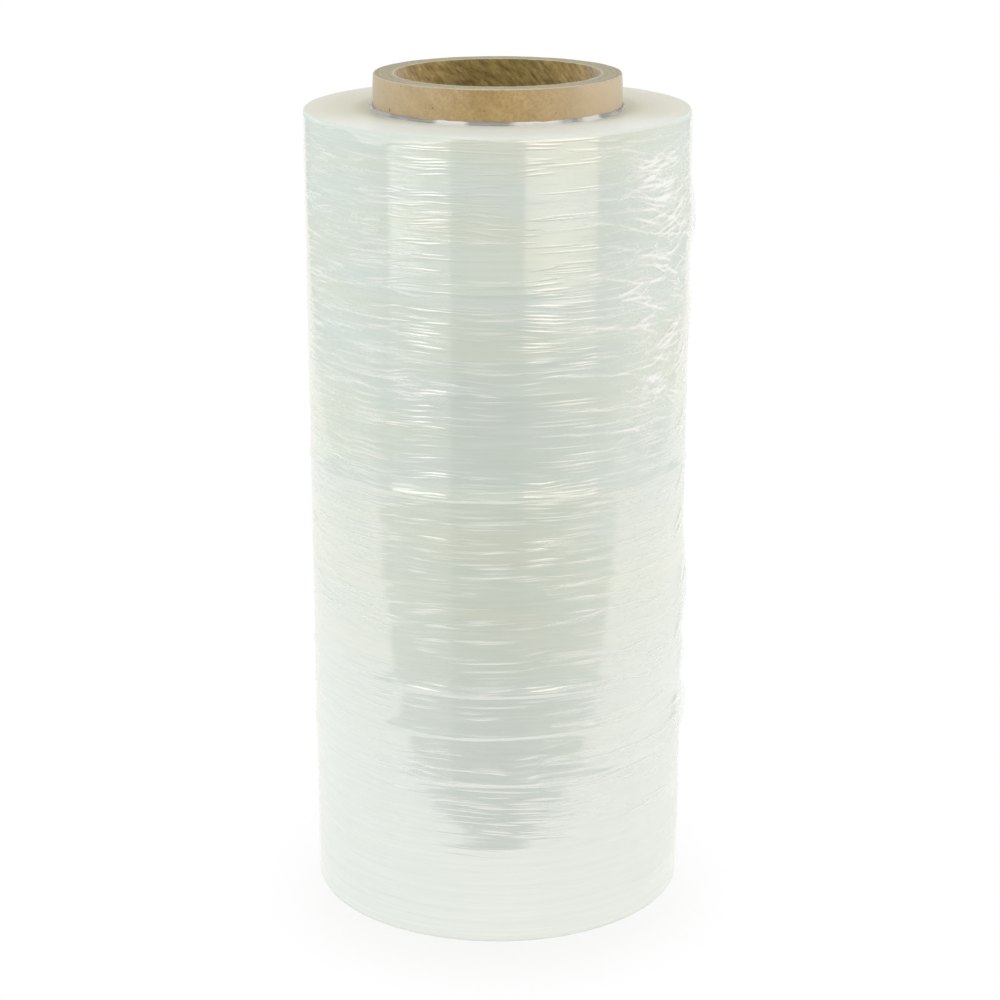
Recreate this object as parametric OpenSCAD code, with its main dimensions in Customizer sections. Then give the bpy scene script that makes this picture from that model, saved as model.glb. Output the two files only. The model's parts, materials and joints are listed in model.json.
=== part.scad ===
// Stretch wrap roll: clear film wound on a spiral paper core, standing on its lower end.
// The origin is at the centre of the core's lower end, with Z up the roll's axis.
// The front of the roll faces -Y, and angles are taken from +X.

/* [Core] */
// Inside diameter of the core, 3 inches on most winding shafts
core_bore = 76.2; // [50:0.1:80]
// Thickness of the core's glued wall of paper plies
core_wall = 8; // [4:0.5:12]
// How far the core stands out of the film at each end
core_overhang = 12.7; // [8:0.1:30]
// Groups of plies that show as rings on each cut end
ply_groups = 5; // [3:1:8]
// Width of the line between two groups of plies
ply_line_w = 0.2; // [0.1:0.05:0.4]
// Depth of the line between two groups of plies
ply_line_deep = 0.35; // [0.1:0.05:1]
// Bevel that the saw and handling leave round each rim of the core
rim_bevel = 0.5; // [0.2:0.1:1]
// Width of the open seam between two turns of the outer ply
seam_w = 0.5; // [0.3:0.1:1.5]
// Depth of the seam, the thickness of the outer ply
seam_deep = 0.35; // [0.2:0.05:0.8]
// Slope of the outer ply's seam above the horizontal, in degrees
seam_slope = 32; // [20:1:45]

/* [Film] */
// Width of the film, which is the height of the wound film
film_width = 304.8; // [240:0.1:510]
// Length of film on the roll, in metres
film_length = 457.2; // [200:0.1:700]
// Thickness of the film, 80 gauge
film_gauge = 0.0203; // [0.015:0.0001:0.028]
// Gap between the core and the first turn, which winds it tight
wind_gap = 0.02; // [0.01:0.01:0.1]
// Air trapped under the last few turns, on the radius
loose_air = 0.45; // [0.2:0.05:1]
// Rounding of the wound film's two rims
film_rim = 2.4; // [1:0.1:4]
// Distance between the rings of turns that show on each end face
turn_ring_pitch = 4.2; // [3:0.1:8]
// Width of the line between two rings of turns
turn_ring_w = 0.5; // [0.3:0.1:1]
// Depth of the line between two rings of turns
turn_ring_deep = 0.25; // [0.1:0.05:0.6]
// How far the first turns stand out along the core at each end
first_turns_rise = 1.2; // [0.5:0.1:3]
// Thickness of the first turns that stand out
first_turns_w = 0.8; // [0.4:0.1:2]

/* [Loose last turns] */
// Number of folds up the roll that the last turns gather into
fold_count = 20; // [12:1:22]
// Height of an ordinary fold above the turns beside it
fold_rise = 0.35; // [0.1:0.05:0.8]
// Half the width of a fold
fold_half_w = 2; // [1:0.1:2.5]
// How far a fold wanders up and down as it goes round
fold_drift = 1.6; // [0:0.1:2]
// Height of the strong creases above the turns beside them
crease_rise = 0.8; // [0.3:0.05:1.5]
// Heights of the strong creases above the film's lower edge
crease_heights = [65, 83, 99, 175.5];
// Height of the slack film's swellings at one side of the roll
slack_rise = 2.5; // [0.5:0.1:4]
// How far the necked last turns fall short of the film's rims
neck_in = 6; // [3:0.1:8]
// Step from the body down to the bare rim, the thickness of the necked turns
neck_step = 0.35; // [0.2:0.05:0.6]

/* [Hidden] */
core_r = core_bore / 2 + core_wall;
core_len = film_width + 2 * core_overhang;
film_bore_r = core_r + wind_gap;
film_r = sqrt(core_r * core_r + 1000 * film_length * film_gauge / PI);
skin_r = film_r + loose_air;
film_z = core_overhang;
over = 1;
metal_fn = 96;

// Corners round the film, and the band at each rim that the folds keep out of
round_n = 72;
rim_band = neck_in + 8;
neck_waves = 6;
neck_turn = 118;
rim_rows = 3;

// Folds: the strong creases, with ordinary folds spread between them
fold_pitch = (film_width - 2 * rim_band) / (fold_count - 1);
stations = concat([rim_band], crease_heights, [film_width - rim_band]);
folds = [
    for (i = [0 : len(stations) - 2])
        let (low = stations[i], gap = stations[i + 1] - low, n = max(1, round(gap / fold_pitch)))
            for (m = [0 : n - 1])
                [low + gap * m / n, m == 0 && i > 0 ? 1 : 0]
];
fold_n = len(folds);
wander_a = rands(0, 360, fold_n, 11);
wander_b = rands(0, 360, fold_n, 12);
fade_turn = rands(0, 360, fold_n, 13);
fade_waves = [for (r = rands(1, 4.99, fold_n, 14)) floor(r)];
fold_size = rands(0.6, 1.5, fold_n, 15);

// Swellings of the slack film: angle, height, half angle, half height, share of the full rise
slack_pads = [
    [-5, 266, 26, 18, 0.9],
    [-2, 231, 24, 17, 0.45],
    [-6, 121, 26, 24, 0.65],
    [-4, 93, 22, 11, 0.5],
    [-6, 72, 26, 13, 1],
    [160, 210, 30, 26, 0.3],
    [75, 150, 34, 30, 0.35]
];

function bump(t) = abs(t) < 1 ? (1 + cos(180 * t)) / 2 : 0;
function half_turn(a) = a - 360 * round(a / 360);

// Room that a fold has below and above it
function fold_room(k) =
    min(
        k > 0 ? folds[k][0] - folds[k - 1][0] : fold_pitch,
        k < fold_n - 1 ? folds[k + 1][0] - folds[k][0] : fold_pitch
    );
function half_w(k) = min(fold_half_w, fold_room(k) / 4);
function drift(k, a) =
    min(fold_drift, fold_room(k) / 6) * (0.65 * sin(a + wander_a[k]) + 0.35 * sin(2 * a + wander_b[k]));
function fade(k, a) =
    let (wave = 0.5 + 0.5 * sin(fade_waves[k] * a + fade_turn[k]))
        folds[k][1] == 1 ? 0.55 + 0.45 * wave : 0.15 + 0.85 * wave * wave;
function crest(k, a) =
    (folds[k][1] == 1 ? crease_rise : fold_rise * fold_size[k]) * fade(k, a);

// Radius of the slack last turns, before the folds are added
function slack(a, h) =
    skin_r + slack_rise * max([
        for (p = slack_pads) p[4] * bump(half_turn(a - p[0]) / p[2]) * bump((h - p[1]) / p[3])
    ]);

// Depth of the wavy edge of the necked turns below the rim
function neck(a) = neck_in * (0.6 + 0.36 * cos(neck_waves * (a + neck_turn)) + 0.04 * sin(a));

// Rings of points from the film's lower edge up: lower rim, folds, upper rim
function rim_row(i, a) =
    i == 0 ? [skin_r - neck_step - film_rim / 2, 0]
    : i == 1 ? [skin_r - neck_step - film_rim / 8, film_rim / 3]
    : i == 2 ? [skin_r - neck_step, film_rim]
    : i == 3 ? [skin_r - neck_step, film_rim + neck(a)]
    : [skin_r, film_rim + neck(a) + neck_step];
function fold_row(k, part, a) =
    let (h = folds[k][0] + drift(k, a) + (part == 1 ? -0.3 : part - 1) * half_w(k))
        [slack(a, h) + (part == 1 ? crest(k, a) : 0), h];
function lower_rings(a) = [for (i = [0 : rim_rows + 1]) rim_row(i, a)];
function upper_rings(a) = [for (i = [rim_rows + 1 : -1 : 0]) let (p = rim_row(i, a)) [p[0], film_width - p[1]]];
function side_line(a) =
    concat(lower_rings(a), [for (k = [0 : fold_n - 1], part = [0 : 2]) fold_row(k, part, a)], upper_rings(a));

module core() {
    color("tan")
        difference() {
            rotate_extrude($fn = metal_fn)
                translate([core_bore / 2, 0])
                    polygon([
                        [rim_bevel, 0],
                        [core_wall - rim_bevel, 0],
                        [core_wall, rim_bevel],
                        [core_wall, core_len - rim_bevel],
                        [core_wall - rim_bevel, core_len],
                        [rim_bevel, core_len],
                        [0, core_len - rim_bevel],
                        [0, rim_bevel]
                    ]);
            for (i = [1 : ply_groups - 1]) {
                ply_line(core_bore / 2 + i * core_wall / ply_groups, 0);
                ply_line(core_bore / 2 + i * core_wall / ply_groups, core_len);
            }
            ply_seam(core_overhang / 2);
            ply_seam(core_len - core_overhang / 2);
        }
}

// Line between two groups of plies on a cut end
module ply_line(r, z) {
    translate([0, 0, z - ply_line_deep])
        rotate_extrude($fn = metal_fn)
            translate([r - ply_line_w / 2, 0])
                square([ply_line_w, 2 * ply_line_deep]);
}

// Seam of the outer ply where it crosses the bare end, at the back of the core
module ply_seam(z) {
    translate([0, core_r - seam_deep, z])
        rotate([0, -seam_slope, 0])
            translate([-core_r / 2, 0, -seam_w / 2])
                cube([core_r, core_wall, seam_w]);
}

module film_roll() {
    color("gainsboro")
        difference() {
            union() {
                wound_film();
                first_turns(film_z - first_turns_rise);
                first_turns(film_z + film_width - over);
            }
            translate([0, 0, -over])
                cylinder(r = film_bore_r, h = core_len + 2 * over, $fn = metal_fn);
            for (r = [film_bore_r + turn_ring_pitch : turn_ring_pitch : film_r - film_rim]) {
                turn_line(r, film_z);
                turn_line(r, film_z + film_width);
            }
        }
}

// All the turns as one solid, with the slack, folded last turns as its side
module wound_film() {
    lines = [for (j = [0 : round_n - 1]) side_line(360 * j / round_n)];
    rings = len(lines[0]);
    points = [
        for (i = [0 : rings - 1], j = [0 : round_n - 1])
            let (a = 360 * j / round_n, p = lines[j][i])
                [p[0] * cos(a), p[0] * sin(a), film_z + p[1]]
    ];
    sides = [
        for (i = [0 : rings - 2], j = [0 : round_n - 1], half = [0, 1])
            let (low = i * round_n, next = (j + 1) % round_n)
                half == 0
                    ? [low + j, low + round_n + j, low + round_n + next]
                    : [low + j, low + round_n + next, low + next]
    ];
    lower_face = [for (j = [0 : round_n - 1]) j];
    upper_face = [for (j = [round_n - 1 : -1 : 0]) (rings - 1) * round_n + j];
    polyhedron(points, concat([lower_face], sides, [upper_face]));
}

// First turns, which stand out of the end face along the core
module first_turns(z) {
    translate([0, 0, z])
        cylinder(r = film_bore_r + first_turns_w, h = first_turns_rise + over, $fn = metal_fn);
}

// Line between two rings of turns on an end face
module turn_line(r, z) {
    translate([0, 0, z - turn_ring_deep])
        rotate_extrude($fn = metal_fn)
            translate([r - turn_ring_w / 2, 0])
                square([turn_ring_w, 2 * turn_ring_deep]);
}

core();
film_roll();
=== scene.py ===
import json
import math

import bmesh
import bpy
import numpy as np
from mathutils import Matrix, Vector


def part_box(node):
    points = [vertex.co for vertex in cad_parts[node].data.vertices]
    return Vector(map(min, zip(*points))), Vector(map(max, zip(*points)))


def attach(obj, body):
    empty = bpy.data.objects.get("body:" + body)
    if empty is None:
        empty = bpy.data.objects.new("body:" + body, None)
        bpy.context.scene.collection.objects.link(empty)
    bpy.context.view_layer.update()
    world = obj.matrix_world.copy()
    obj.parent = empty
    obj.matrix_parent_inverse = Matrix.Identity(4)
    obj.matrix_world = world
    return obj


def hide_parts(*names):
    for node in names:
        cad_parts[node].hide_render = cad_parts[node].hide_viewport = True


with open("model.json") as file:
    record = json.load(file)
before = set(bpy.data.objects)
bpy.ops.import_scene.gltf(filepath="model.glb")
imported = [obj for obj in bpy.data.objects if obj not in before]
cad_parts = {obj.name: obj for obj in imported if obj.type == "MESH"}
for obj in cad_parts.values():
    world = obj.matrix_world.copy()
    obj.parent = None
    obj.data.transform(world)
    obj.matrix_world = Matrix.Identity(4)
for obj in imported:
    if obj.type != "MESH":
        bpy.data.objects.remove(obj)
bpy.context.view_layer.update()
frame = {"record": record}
mm = 0.001

coreLow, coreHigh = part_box("core")
filmLow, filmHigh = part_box("film_roll")
boreRadius = frame["record"]["mounts"][0]["dims"]["r_mm"] * mm
coreRadius = coreHigh.x
coreTop = coreHigh.z
firstTurnsRise = 1.2 * mm  # the film next to the core stands out of the end faces by this much
filmBottom = filmLow.z + firstTurnsRise
filmTop = filmHigh.z - firstTurnsRise
filmWidth = filmTop - filmBottom

# The photograph's camera, worked out from the ellipses of the core and the film
photoCamera = {"distance": 0.9265, "height": 0.4537, "pitch": 17.29, "lens": 90.2, "sideStep": 0.0009}

# A white paper sweep that ends just in front of the roll, soft boxes at the camera's left and right,
# and a room that is dark behind the camera and brighter to the sides and the back
studio = {
    "paperHalfWidth": 0.65,
    "paperFront": -0.186,
    "paperBack": 1.6,
    "paperRise": 1.4,
    "paperCurve": 0.35,
    "paperColour": (0.88, 0.88, 0.87),
    "paperMirrored": (1.07, 1.0, 0.98),
    "shadowKept": 0.90,
    "shadowFades": (70 * mm, 105 * mm),
    "mirrorFades": (66 * mm, 80 * mm),
    "boxDistance": 1.6,
    "leftBox": {
        "from": -65, "to": -27, "low": -0.70, "high": 1.25, "strength": 1.95, "colour": (1.0, 0.955, 0.86),
        "panels": [
            ([(-0.70, 0.07), (-0.31, 0.10), (-0.27, 0.13), (0.04, 0.15),
              (0.06, 0.09), (0.12, 0.09), (0.16, 0)],
             [(0, 0.4), (0.3, 0.4), (0.5, 0.5), (0.68, 0.8), (0.98, 0.9), (1, 0.8)]),
            ([(0.11, 0), (0.16, 0.5), (0.24, 1), (0.86, 1), (0.95, 0.8)],
             [(0, 0.6), (0.2, 0.75), (0.45, 0.9), (0.98, 0.85), (1, 0.8)]),
            ([(-0.056, 0), (-0.047, 0.66), (-0.026, 0.66), (-0.014, 0),
              (0, 0), (0.010, 0.76), (0.032, 0.76), (0.042, 0)],
             [(0, 0.5), (0.08, 1), (0.45, 1), (0.66, 0.3), (1, 0.15)]),
        ],
    },
    "rightBox": {
        "from": 15.5, "to": 59, "low": -0.70, "high": 1.15, "strength": 1.9, "colour": (1.0, 0.85, 0.68),
        "panels": [
            ([(-0.70, 0.02), (-0.27, 0.03), (0.06, 0.05), (0.09, 0.10), (0.15, 0.55), (0.24, 1)],
             [(0, 0.8), (0.5, 0.85), (1, 0.8)]),
            ([(-0.15, 0), (-0.12, 0.20), (-0.065, 0.25), (-0.05, 0.42), (0.052, 0.42), (0.062, 0)],
             [(0, 0.68), (0.12, 0.74), (0.35, 0.96), (0.55, 1), (0.8, 0.86), (1, 0.72)]),
        ],
    },
    "fillFront": 0.315,
    "fillSide": 1.175,
    "fillBack": 0.785,
    "fillLeft": 0.98,
    "fillRight": 1.03,
    "roomTones": [(0, 0.17), (0.06, 0.22), (0.16, 0.36), (0.33, 0.52),
                  (0.5, 0.61), (0.75, 0.63), (0.92, 0.6)],
    "roomUpper": 0.42,
    "roomRight": 0.98,
    "roomRadius": 2.6,
}


def deselectAll():
    if bpy.context.object and bpy.context.object.mode != "OBJECT":
        bpy.ops.object.mode_set(mode="OBJECT")
    bpy.ops.object.select_all(action="DESELECT")


def pickPiece(piece):
    deselectAll()
    piece.select_set(True)
    bpy.context.view_layer.objects.active = piece


def startEdit(piece, kind="FACE"):
    pickPiece(piece)
    bpy.ops.object.mode_set(mode="EDIT")
    bpy.ops.mesh.select_mode(type=kind)
    bpy.ops.mesh.select_all(action="DESELECT")


def pickFaces(piece, test):
    # selects the faces whose centre and normal pass the test
    shape = bmesh.from_edit_mesh(piece.data)
    for face in shape.faces:
        face.select_set(bool(test(face.calc_center_median(), face.normal)))
    bmesh.update_edit_mesh(piece.data)


def pickEdges(piece, test):
    # selects the edges whose two ends pass the test
    shape = bmesh.from_edit_mesh(piece.data)
    for edge in shape.edges:
        edge.select_set(bool(test(edge.verts[0].co, edge.verts[1].co)))
    bmesh.update_edit_mesh(piece.data)


def endEdit():
    bpy.ops.object.mode_set(mode="OBJECT")


def addCylinder(name, radius, low, high, sides, ends="NGON"):
    deselectAll()
    middle = (low + high) / 2
    bpy.ops.mesh.primitive_cylinder_add(
        vertices=sides, radius=radius, depth=high - low, end_fill_type=ends, location=(0, 0, middle)
    )
    piece = bpy.context.object
    piece.name = name
    piece.data.name = name
    bpy.ops.object.transform_apply(location=True, rotation=True, scale=True)
    return piece


def runsUp(a, b):
    # true for an edge that runs up the side
    return abs(a.z - b.z) > mm and math.hypot(a.x - b.x, a.y - b.y) < 1e-5


def cutAcross(piece, cuts, times=1, test=runsUp):
    # level cuts across the upright edges; each further time cuts again between those cuts
    bpy.ops.mesh.select_mode(type="EDGE")
    for _ in range(times):
        bpy.ops.mesh.select_all(action="DESELECT")
        pickEdges(piece, test)
        bpy.ops.mesh.subdivide(number_cuts=cuts)


def boreThrough(piece, steps, hole):
    # rings are inset into both ends, and the hole inside the last of them is walled
    startEdit(piece)
    pickFaces(piece, lambda centre, normal: abs(normal.z) > 0.9)
    for step in steps:
        bpy.ops.mesh.inset(thickness=step)
    bpy.ops.mesh.delete(type="FACE")
    bpy.ops.mesh.select_mode(type="EDGE")
    pickEdges(piece, lambda a, b: max(math.hypot(a.x, a.y), math.hypot(b.x, b.y)) < hole)
    bpy.ops.mesh.bridge_edge_loops()


def readRound(piece):
    # the points, with each one's distance and bearing from the roll's axis
    points = np.empty(len(piece.data.vertices) * 3)
    piece.data.vertices.foreach_get("co", points)
    points = points.reshape(-1, 3)
    return points, np.hypot(points[:, 0], points[:, 1]), np.arctan2(points[:, 1], points[:, 0])


def writeRound(piece, points, reach, angle):
    points[:, 0] = reach * np.cos(angle)
    points[:, 1] = reach * np.sin(angle)
    piece.data.vertices.foreach_set("co", points.ravel())
    piece.data.update()


def writeValue(piece, name, values):
    # keeps a value at each vertex, which the piece's own material reads
    layer = piece.data.attributes.new(name, "FLOAT", "POINT")
    layer.data.foreach_set("value", values.astype(np.float32))


def smooth(piece, degrees):
    pickPiece(piece)
    bpy.ops.object.shade_smooth_by_angle(angle=math.radians(degrees))


# Materials

def startNodes(owner):
    # an empty node tree for a material, a light or the world
    owner.use_nodes = True
    owner.node_tree.nodes.clear()
    return owner.node_tree


def newMaterial(name):
    material = bpy.data.materials.new(name)
    return material, startNodes(material)


def addNode(tree, kind, inputs=None, **settings):
    # the inputs are constants or the sockets that feed them
    node = tree.nodes.new("ShaderNode" + kind)
    for key, value in settings.items():
        setattr(node, key, value)
    for key, value in (inputs or {}).items():
        if isinstance(value, bpy.types.NodeSocket):
            tree.links.new(value, node.inputs[key])
        else:
            node.inputs[key].default_value = value
    return node


def finishNodes(tree, shader, kind="OutputMaterial"):
    addNode(tree, kind, {"Surface": shader})


def finishSurface(tree, inputs):
    # a surface of one plain shader with the given inputs
    finishNodes(tree, addNode(tree, "BsdfPrincipled", inputs).outputs["BSDF"])


def maths(tree, operation, a, b=0.0, c=0.0):
    return addNode(tree, "Math", {0: a, 1: b, 2: c}, operation=operation).outputs[0]


def times(tree, a, b):
    return maths(tree, "MULTIPLY", a, b)


def vectorMaths(tree, operation, a, b=(0, 0, 0), result="Vector"):
    return addNode(tree, "VectorMath", {0: a, 1: b}, operation=operation).outputs[result]


def mixShaders(tree, share, a, b):
    return addNode(tree, "MixShader", {"Fac": share, 1: a, 2: b}).outputs["Shader"]


def between(tree, value, start, end, low=0.0, high=1.0, curve="SMOOTHSTEP"):
    # low up to the start, high beyond the end, and a gradual change between them
    inputs = {"Value": value, "From Min": start, "From Max": end, "To Min": low, "To Max": high}
    return addNode(tree, "MapRange", inputs, interpolation_type=curve).outputs["Result"]


def objectPlace(tree):
    return addNode(tree, "TexCoord").outputs["Object"]


def along(tree, axis):
    # the place along one of the object's own axes, in metres
    return addNode(tree, "SeparateXYZ", {0: objectPlace(tree)}).outputs[axis]


def radiusOf(tree):
    # distance from the roll's axis, in metres
    flat = vectorMaths(tree, "MULTIPLY", objectPlace(tree), (1, 1, 0))
    return vectorMaths(tree, "LENGTH", flat, result="Value")


def ramp(tree, factor, stops):
    # each stop is a place and a colour or a level of grey
    node = addNode(tree, "ValToRGB", {"Fac": factor})
    elements = node.color_ramp.elements
    while len(elements) < len(stops):
        elements.new(0.5)
    for element, (position, colour) in zip(elements, stops):
        element.position = position
        element.color = (*colour, 1.0) if isinstance(colour, tuple) else (colour, colour, colour, 1.0)
    return node.outputs["Color"]


def mixColour(tree, factor, a, b, blend="MIX"):
    node = addNode(tree, "Mix", data_type="RGBA", blend_type=blend)
    for socket, value in ((node.inputs[0], factor), (node.inputs[6], a), (node.inputs[7], b)):
        if isinstance(value, bpy.types.NodeSocket):
            tree.links.new(value, socket)
        else:
            socket.default_value = value if not isinstance(value, tuple) else (*value, 1.0)
    return node.outputs[2]


def shaded(tree, colour, pattern, dark, pale, low=0.3, high=0.7):
    # the colour made darker and paler by a pattern
    return mixColour(tree, 1.0, colour, ramp(tree, pattern, [(low, dark), (high, pale)]), "MULTIPLY")


def bumped(tree, height, depth, strength=1.0):
    node = addNode(tree, "Bump", {"Height": height, "Strength": strength, "Distance": depth})
    return node.outputs["Normal"]


def scaled(tree, place, scale, offset):
    inputs = {"Vector": place, "Scale": scale, "Location": offset}
    return addNode(tree, "Mapping", inputs).outputs["Vector"]


def noiseAt(tree, place, scale, offset, detail, roughness):
    place = scaled(tree, place, scale, offset)
    inputs = {"Vector": place, "Scale": 1.0, "Detail": detail, "Roughness": roughness}
    return addNode(tree, "TexNoise", inputs).outputs["Fac"]


def stretchedNoise(tree, scale, detail=3.0, roughness=0.55, offset=(0, 0, 0)):
    # noise on object coordinates, with its own scale along each axis
    return noiseAt(tree, objectPlace(tree), scale, offset, detail, roughness)


def ringNoise(tree, radius, scale):
    # uneven thin rings round the roll's axis
    inputs = {"W": times(tree, radius, scale), "Scale": 1.0, "Detail": 3.0}
    return addNode(tree, "TexNoise", inputs, noise_dimensions="1D").outputs["Fac"]


def strandNoise(tree, scale, offset, width, sway, bends=13.0, pick=1.6):
    # thin level strands at random places, tapered to both ends, some stronger than others: 0 to 1
    place = objectPlace(tree)
    bend = {"Vector": place, "Scale": bends + offset[0], "Detail": 1.0}
    slow = addNode(tree, "TexNoise", bend)
    lift = times(tree, slow.outputs["Fac"], 2 * sway * mm)
    up = addNode(tree, "CombineXYZ", {"Z": lift})
    moved = scaled(tree, vectorMaths(tree, "ADD", place, up.outputs["Vector"]), scale, offset)
    cells = addNode(tree, "TexVoronoi", {"Vector": moved, "Scale": 1.0})
    crest = between(tree, cells.outputs["Distance"], 0.0, width, 1.0, 0.0, "LINEAR")
    split = addNode(tree, "SeparateColor", {"Color": cells.outputs["Color"]})
    strength = maths(tree, "POWER", split.outputs["Red"], pick)
    return times(tree, crest, strength)


def patches(tree, scale, offset, low, high):
    # where on the roll something shows, from 0 to 1
    return between(tree, stretchedNoise(tree, scale, detail=2.0, offset=offset), low, high)


def aboveCalm(tree):
    # the last turns lie smooth over the lowest part of the roll, higher up at its right
    right = maths(tree, "MAXIMUM", maths(tree, "SUBTRACT", along(tree, "X"), 22 * mm), 0.0)
    level = maths(tree, "MULTIPLY_ADD", right, -1.5, along(tree, "Z"))
    return between(tree, level, filmBottom + 14 * mm, filmBottom + 50 * mm, low=0.1)


def ownValue(tree, name):
    # a value that the mesh carries at each vertex
    return addNode(tree, "Attribute", attribute_name=name).outputs["Fac"]


# Milky, glossy film as it looks many turns deep; heights in mm
milkyLook = {
    "cool": (0.728, 0.826, 0.784),
    "green": (0.741, 0.830, 0.746),
    "cream": (0.761, 0.830, 0.724),
    # painted reflection of the pale paper, towards the roll's foot
    "low": (0.770, 0.856, 0.824),
    # whiter on folds: partly the folded film's own white, partly painted glints
    "white": (0.96, 0.975, 0.96),
    # the bare rim's colour: partly its own cooler tone, partly painted shade
    "rim": (0.675, 0.77, 0.745),
    "roughness": 0.09,
    "ior": 2.75,
    "streaks": 0.004,
    "strands": 0.17,
    "whitened": 0.9,
}


def makeMilkyFilm():
    look = milkyLook
    material, tree = newMaterial("milkyFilm")
    broad = stretchedNoise(tree, (9, 9, 38), detail=1.0)
    tint = ramp(tree, broad, [(0.38, look["cool"]), (0.5, look["green"]), (0.62, look["cream"])])
    streaks = stretchedNoise(tree, (22, 22, 820), roughness=0.65)
    threads = strandNoise(tree, (24, 24, 900), (3, 1, 5), 0.42, 2.4, pick=2.2)
    short = strandNoise(tree, (50, 50, 820), (6, 2, 8), 0.5, 3.0, 30.0, 1.1)
    # a denser growth of short strands at the roll's upper left
    height = along(tree, "Z")
    left = between(tree, along(tree, "X"), -13 * mm, -26 * mm)
    hair = times(tree, left, between(tree, height, filmBottom + 110 * mm, filmBottom + 160 * mm))
    where = maths(tree, "MAXIMUM", patches(tree, (16, 16, 50), (1, 9, 2), 0.40, 0.56), hair)
    short = times(tree, short, where)
    threads = times(tree, maths(tree, "MAXIMUM", threads, short), aboveCalm(tree))
    relief = times(tree, streaks, look["streaks"])
    relief = maths(tree, "MULTIPLY_ADD", threads, look["strands"], relief)
    bare = ownValue(tree, "bareRim")
    relief = times(tree, relief, maths(tree, "SUBTRACT", 1.0, bare))
    # paler towards the roll's foot: a painted reflection of the pale paper in front of it
    foot = between(tree, height, filmBottom + 185 * mm, filmBottom + 50 * mm, high=0.9)
    tint = mixColour(tree, foot, tint, look["low"])
    colour = shaded(tree, tint, streaks, (0.955, 0.962, 0.966), (1.022, 1.02, 1.015), 0.33, 0.66)
    # folds and strands are whiter: partly the folded film's own white, partly painted glints of the soft
    # boxes
    folds = times(tree, ownValue(tree, "folds"), 0.5)
    folds = maths(tree, "MAXIMUM", folds, times(tree, threads, look["whitened"]))
    colour = mixColour(tree, folds, colour, look["white"])
    # cooler and darker at the bare rim: partly its own tone, partly painted shade on the rim's rounding
    colour = mixColour(tree, times(tree, bare, 0.5), colour, look["rim"])
    finishSurface(tree, {
        "Base Color": colour,
        "Roughness": between(tree, bare, 0.0, 1.0, look["roughness"], 0.95, "LINEAR"),
        "IOR": look["ior"],
        "Normal": bumped(tree, relief, mm),
    })
    return material


# End faces, where the turns' edges stack up
endLook = {
    # painted light: the face's paler tone towards the front
    "front": (0.83, 0.872, 0.83),
    "pale": (0.745, 0.76, 0.65),
    # darker towards the core: painted shade
    "middle": (0.67, 0.68, 0.55),
    "deep": (0.48, 0.495, 0.345),
    "paleRadius": 70.5 * mm,
    "ringDepth": 0.10 * mm,
    "roughness": 0.40,
}


def makeFilmEnds():
    look = endLook
    material, tree = newMaterial("filmEnds")
    radius = radiusOf(tree)
    turns = ringNoise(tree, radius, 2400.0)
    # darker towards the core: painted shade on the face
    inward = between(tree, radius, coreRadius, look["paleRadius"], curve="LINEAR")
    base = ramp(tree, inward, [(0.0, look["deep"]), (0.35, look["middle"]), (1.0, look["pale"])])
    # the face is paler towards the front: painted light that lifts the shade and brown bounce from the core
    # there
    away = between(tree, along(tree, "Y"), -48 * mm, -12 * mm)
    base = mixColour(tree, away, look["front"], base)
    finishSurface(tree, {
        "Base Color": shaded(tree, base, turns, (0.93, 0.93, 0.92), (1.04, 1.04, 1.04)),
        "Roughness": look["roughness"],
        "IOR": 1.6,
        "Normal": bumped(tree, turns, look["ringDepth"]),
    })
    return material


# Clear film, one turn thick, that stands off the roll; heights in mm
clearLook = {
    "veil": (0.945, 0.972, 0.968),
    "facing": 0.05,
    "mostMirror": 0.07,
    "roughness": 0.12,
    "streaks": 0.10,
    "haze": 0.06,
    "clouds": 0.18,
    "folded": 0.88,
}


def makeClearFilm():
    look = clearLook
    material, tree = newMaterial("clearFilm")
    # the slack film is crinkled and cloudy in patches at the roll's right
    right = between(tree, along(tree, "X"), 32 * mm, 50 * mm, curve="LINEAR")
    crinkles = strandNoise(tree, (78, 78, 820), (2, 7, 1), 0.46, 9.0, 46.0, 1.1)
    crinkles = times(tree, crinkles, patches(tree, (22, 22, 34), (5, 3, 8), 0.42, 0.58))
    crinkles = times(tree, crinkles, times(tree, right, aboveCalm(tree)))
    clouds = times(tree, right, patches(tree, (18, 18, 34), (4, 4, 4), 0.40, 0.60))
    streaks = stretchedNoise(tree, (20, 20, 480), detail=1.0, roughness=0.65, offset=(7, 2, 9))
    relief = times(tree, streaks, look["streaks"])
    clear = addNode(tree, "BsdfTransparent", {"Color": (0.995, 0.998, 0.998, 1)})
    relief = bumped(tree, relief, mm)
    polish = {"Color": (1, 1, 1, 1), "Roughness": look["roughness"], "Normal": relief}
    gloss = addNode(tree, "BsdfGlossy", polish)
    milk = addNode(tree, "BsdfDiffuse", {"Color": (*look["veil"], 1.0)})
    # a thin sheet reflects the same from both sides, and more as it is seen edge on
    facing = addNode(tree, "LayerWeight", {"Blend": 0.5}).outputs["Facing"]
    steep = maths(tree, "POWER", facing, 5.0)
    mirror = maths(tree, "MULTIPLY_ADD", steep, 1 - look["facing"], look["facing"])
    mirror = maths(tree, "MINIMUM", mirror, look["mostMirror"])
    shown = ownValue(tree, "shown")
    mirror = times(tree, mirror, shown)
    sheet = mixShaders(tree, mirror, clear.outputs["BSDF"], gloss.outputs["BSDF"])
    strands = times(tree, times(tree, crinkles, 0.7), shown)
    folds = maths(tree, "MAXIMUM", strands, ownValue(tree, "folds"))
    veil = maths(tree, "MULTIPLY_ADD", clouds, look["clouds"], look["haze"])
    haze = maths(tree, "MULTIPLY_ADD", folds, look["folded"], times(tree, shown, veil))
    finishNodes(tree, mixShaders(tree, haze, sheet, milk.outputs["BSDF"]))
    return material


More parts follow.
